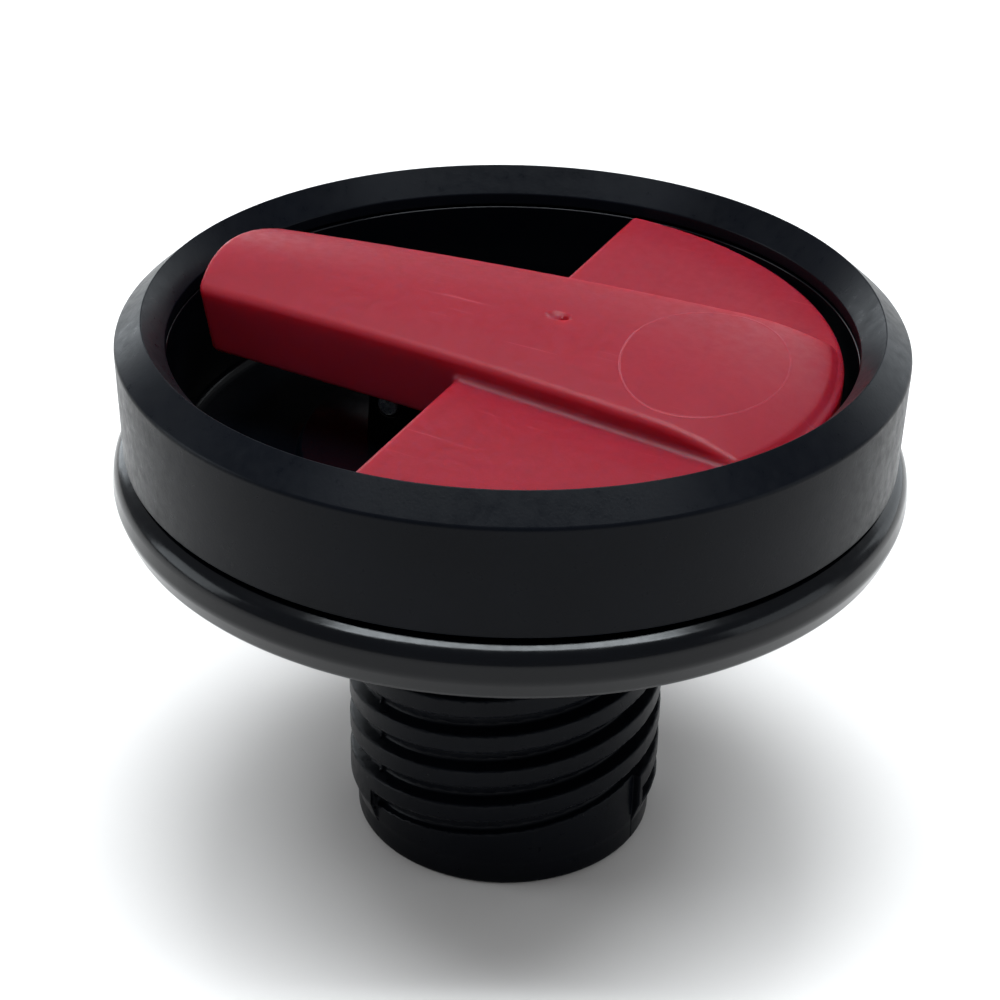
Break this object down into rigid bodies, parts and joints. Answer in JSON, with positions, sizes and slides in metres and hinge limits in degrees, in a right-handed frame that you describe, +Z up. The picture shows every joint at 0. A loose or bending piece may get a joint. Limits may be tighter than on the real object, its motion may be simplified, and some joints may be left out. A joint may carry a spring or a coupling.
{
  "type": "vacuum flask pouring stopper",
  "caption": "Screw-in pouring stopper of a vacuum flask: threaded valve stem, flange, collar and bowl, with a red thumb lever that rocks to open a spring-closed valve.",
  "frame": {"origin": "centre of the stem's foot, on the axis of the thread", "axes": "+Z up along the axis of the thread; +X from the lever's finger bar towards its thumb plate; +Y along the lever's pivot pin"},
  "size_m": [0.09, 0.09, 0.0675],
  "materials": {
    "satin_black": "satin moulded polypropylene",
    "gloss_black": "polished moulded polypropylene",
    "lever_red": "deep red moulded plastic with a fine satin grain",
    "natural_plastic": "uncoloured moulded plastic",
    "silicone": "grey silicone rubber",
    "foam": "closed-cell white insulating foam",
    "spring_steel": "bright drawn stainless steel"
  },
  "bodies": {
    "stopper": {"outer_collar": "satin_black", "flange_body": "gloss_black", "bowl": "gloss_black", "threaded_stem": "satin_black", "neck_gasket": "silicone", "stem_seal_ring": "silicone", "valve_seat": "natural_plastic", "stem_liner": "natural_plastic", "foam_sleeve": "foam", "rod_guide": "natural_plastic", "return_spring": "spring_steel", "rod_wiper": "silicone", "wiper_retainer": "satin_black", "pivot_pin": "spring_steel"},
    "lever": {"rocker_lever": "lever_red"},
    "valve": {"valve_rod": "natural_plastic", "disc_clip": "spring_steel", "valve_disc": "natural_plastic", "valve_seal": "silicone", "spring_cap": "natural_plastic", "rod_button": "natural_plastic"}
  },
  "joints": [
    {"name": "lever_rock", "type": "hinge", "parent": "stopper", "child": "lever", "pos_m": [-0.012, 0, 0.055], "axis": [0, 1, 0], "range_deg": [0, 11], "stiffness_Nm_per_rad": 0.088, "springref_deg": -18.91},
    {"name": "valve_slide", "type": "slide", "parent": "stopper", "child": "valve", "axis": [0, 0, -1], "range_m": [0, 0.0024], "deforming": ["return_spring"]}
  ],
  "couplings": [
    {"joint": "valve_slide", "follows": "lever_rock", "m_per_rad": 0.0121}
  ]
}
